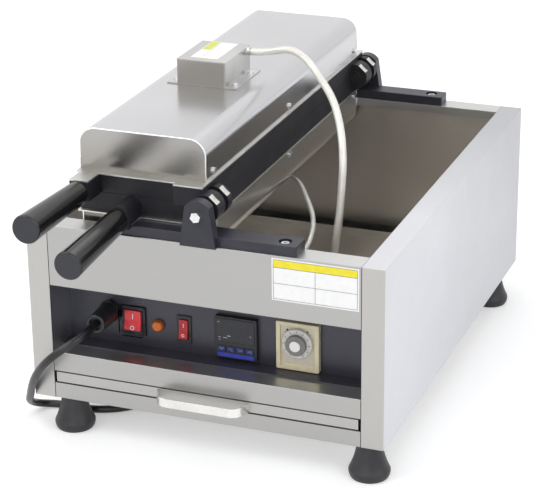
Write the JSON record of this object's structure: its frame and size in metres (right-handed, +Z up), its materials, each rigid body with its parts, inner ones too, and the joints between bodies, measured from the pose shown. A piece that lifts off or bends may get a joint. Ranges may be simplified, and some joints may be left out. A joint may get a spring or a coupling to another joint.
{
  "type": "taiyaki maker",
  "caption": "Countertop electric taiyaki maker: two cast moulds hinged like a book over an open stainless well, with a recessed control panel, a drip drawer and rubber feet.",
  "frame": {"origin": "centre of the object's footprint without its cord, on the surface that it stands on", "axes": "+Z up, -Y towards the controls and grips, +X to the right as seen from the controls; the hinge runs along Y"},
  "size_m": [0.4302, 0.8382, 0.3787],
  "materials": {
    "body_steel": "brushed stainless sheet",
    "cover_steel": "brushed stainless sheet, long grain",
    "plate_steel": "plain rolled sheet",
    "panel_paint": "slate satin paint",
    "casting": "matt charcoal casting",
    "bracket_metal": "painted casting",
    "fastener": "bright fastener",
    "foot_rubber": "black rubber",
    "cord_rubber": "black sheath",
    "grip_plastic": "glossy black phenolic",
    "black_plastic": "satin black",
    "rocker_red": "translucent red",
    "clear_hood": "clear moulded hood",
    "lamp_amber": "amber lens",
    "key_blue": "dark blue key",
    "timer_beige": "beige moulding",
    "knob_clear": "clear skirt round a pale knob",
    "heater_metal": "clamped mica heater",
    "wool": "mineral wool pad",
    "braid": "pale glass braid",
    "terminal_white": "ceramic terminal"
  },
  "bodies": {
    "base": {"left_side_panel": "body_steel", "right_side_panel": "body_steel", "front_apron": "body_steel", "rear_panel": "body_steel", "rear_inner_wall": "body_steel", "compartment_box": "body_steel", "front_rail": "body_steel", "base_tray": "body_steel", "control_panel": "panel_paint", "drawer_runners": "plate_steel", "foot_front_left": "foot_rubber", "foot_front_right": "foot_rubber", "foot_rear_left": "foot_rubber", "foot_rear_right": "foot_rubber", "foot_bolts": "fastener", "power_switch_body": "black_plastic", "power_switch_cover": "clear_hood", "indicator_lamp": "lamp_amber", "alarm_switch_body": "black_plastic", "temperature_controller": "black_plastic", "timer_frame": "timer_beige", "cable_gland": "black_plastic", "power_cord": "cord_rubber", "cord_coil": "cord_rubber", "plug": "cord_rubber", "front_bracket": "bracket_metal", "rear_bracket": "bracket_metal", "bracket_screws": "fastener", "pivot_bolts": "fastener", "hinge_shaft": "fastener", "terminal_block": "terminal_white", "upper_hose": "braid", "lower_hose": "braid"},
    "lower_mould_half": {"lower_mould": "casting", "lower_heater": "heater_metal", "lower_insulation": "wool", "lower_backing_plate": "plate_steel", "lower_cover": "cover_steel", "lower_cover_screws": "fastener", "lower_grip": "grip_plastic", "lower_handle_stud": "fastener"},
    "upper_mould_half": {"upper_mould": "casting", "upper_heater": "heater_metal", "upper_insulation": "wool", "upper_backing_plate": "plate_steel", "upper_cover": "cover_steel", "upper_cover_screws": "fastener", "upper_grip": "grip_plastic", "upper_handle_stud": "fastener", "junction_box": "cover_steel", "junction_box_screws": "fastener"},
    "drawer": {"drawer_tray": "body_steel", "drawer_handle": "cover_steel"},
    "power_key": {"power_rocker": "rocker_red"},
    "alarm_key": {"alarm_rocker": "rocker_red"},
    "timer_dial": {"timer_knob": "knob_clear"},
    "controller_button_1": {"controller_key_1": "key_blue"},
    "controller_button_2": {"controller_key_2": "key_blue"},
    "controller_button_3": {"controller_key_3": "key_blue"},
    "controller_button_4": {"controller_key_4": "key_blue"}
  },
  "joints": [
    {"name": "flip", "type": "hinge", "parent": "base", "child": "lower_mould_half", "pos_m": [0, 0, 0.274], "axis": [0, 1, 0], "range_deg": [0, 180], "deforming": ["lower_hose", "upper_hose"]},
    {"name": "lid", "type": "hinge", "parent": "lower_mould_half", "child": "upper_mould_half", "pos_m": [0, 0, 0.274], "axis": [0, -1, 0], "range_deg": [-180, 0], "deforming": ["upper_hose"]},
    {"name": "drawer_slide", "type": "slide", "parent": "base", "child": "drawer", "axis": [0, -1, 0], "range_m": [0, 0.3]},
    {"name": "power_rocker_tilt", "type": "hinge", "parent": "base", "child": "power_key", "pos_m": [-0.0985, -0.1672, 0.123], "axis": [1, 0, 0], "range_deg": [0, 14]},
    {"name": "alarm_rocker_tilt", "type": "hinge", "parent": "base", "child": "alarm_key", "pos_m": [-0.0393, -0.167, 0.121], "axis": [1, 0, 0], "range_deg": [0, 14]},
    {"name": "timer_turn", "type": "hinge", "parent": "base", "child": "timer_dial", "pos_m": [0.092, -0.1697, 0.1262], "axis": [0, 1, 0], "range_deg": [0, 300]},
    {"name": "controller_key_1_press", "type": "slide", "parent": "base", "child": "controller_button_1", "axis": [0, 1, 0], "range_m": [0, 0.0008], "stiffness_N_per_m": 300},
    {"name": "controller_key_2_press", "type": "slide", "parent": "base", "child": "controller_button_2", "axis": [0, 1, 0], "range_m": [0, 0.0008], "stiffness_N_per_m": 300},
    {"name": "controller_key_3_press", "type": "slide", "parent": "base", "child": "controller_button_3", "axis": [0, 1, 0], "range_m": [0, 0.0008], "stiffness_N_per_m": 300},
    {"name": "controller_key_4_press", "type": "slide", "parent": "base", "child": "controller_button_4", "axis": [0, 1, 0], "range_m": [0, 0.0008], "stiffness_N_per_m": 300}
  ]
}
